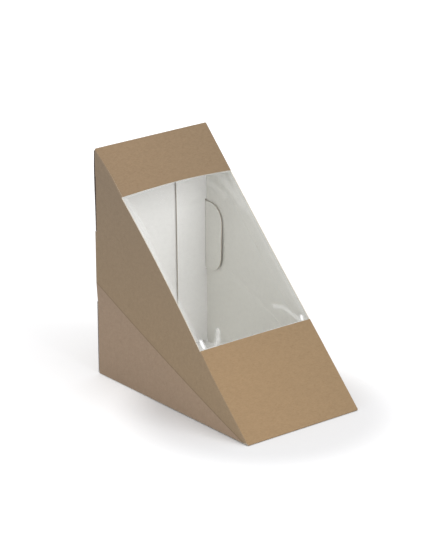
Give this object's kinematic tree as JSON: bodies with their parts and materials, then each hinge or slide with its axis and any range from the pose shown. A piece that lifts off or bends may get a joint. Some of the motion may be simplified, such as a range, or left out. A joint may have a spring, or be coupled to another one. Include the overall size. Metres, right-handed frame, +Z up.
{
  "type": "sandwich wedge pack",
  "caption": "Triangular folded kraft-board sandwich pack with a clear film window in its sloping front and a back lid that folds down and locks with side tabs and a tuck flap",
  "frame": {"origin": "on the table under the middle of the closed pack", "axes": "+X to the right seen from the sloping front, +Y to the back lid, +Z up"},
  "size_m": [0.072, 0.1242, 0.123],
  "materials": {
    "kraft_board": "uncoated brown kraft outside, white inside",
    "clear_film": "clear glossy film"
  },
  "bodies": {
    "pack": {"board_shell": "kraft_board", "window_film": "clear_film"},
    "lid": {"back_lid": "kraft_board"}
  },
  "joints": [
    {"name": "lid_hinge", "type": "hinge", "parent": "pack", "child": "lid", "pos_m": [0, 0.06089, 0.00022], "axis": [-1, 0, 0], "range_deg": [0, 89]}
  ]
}
